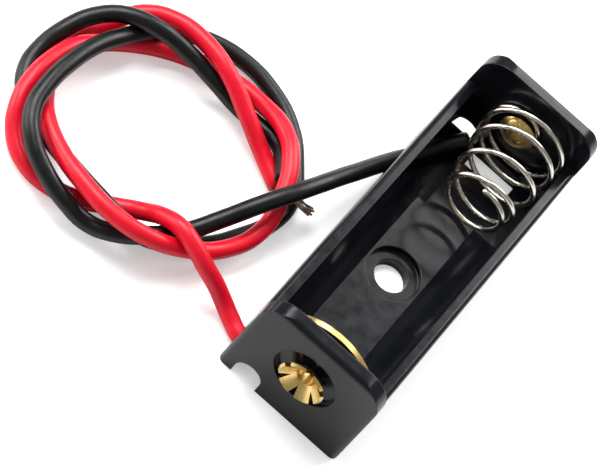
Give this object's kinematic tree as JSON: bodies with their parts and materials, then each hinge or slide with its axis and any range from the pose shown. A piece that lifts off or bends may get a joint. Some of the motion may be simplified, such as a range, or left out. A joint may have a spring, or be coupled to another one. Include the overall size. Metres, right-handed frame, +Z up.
{
  "type": "cylindrical cell holder",
  "caption": "Open tray for one small cylindrical cell, with a crimped disc contact at one end, a conical spring at the other, a countersunk floor hole for a screw and two insulated flying leads.",
  "frame": {"origin": "middle of the housing's flat base, halfway between the outer faces of the two end walls", "axes": "+Z up from the base, +Y from the positive contact towards the spring, +X across the tray away from the side that the leads leave by"},
  "size_m": [0.0429, 0.0374, 0.0118],
  "materials": {
    "housing": "moulded, satin, black",
    "brass": "stamped and crimped, slightly tarnished",
    "spring_wire": "nickel plated, bright",
    "red_insulation": "extruded PVC, semi gloss, red",
    "black_insulation": "extruded PVC, semi gloss, black",
    "copper": "bare and tinned copper strands",
    "solder": "soft solder, smooth"
  },
  "bodies": {
    "holder": {"housing": "housing", "positive_contact": "brass", "negative_rivet": "brass", "red_lead": "red_insulation", "red_inner_strands": "copper", "red_solder": "solder", "red_bare_end": "copper", "black_lead": "black_insulation", "black_inner_strands": "copper", "black_solder": "solder", "black_bare_end": "copper"},
    "spring_contact": {"negative_spring": "spring_wire"}
  },
  "joints": [
    {"name": "spring_travel", "type": "slide", "parent": "holder", "child": "spring_contact", "axis": [0, 1, 0], "range_m": [0, 0.0062], "stiffness_N_per_m": 400, "deforming": ["negative_spring"]}
  ]
}
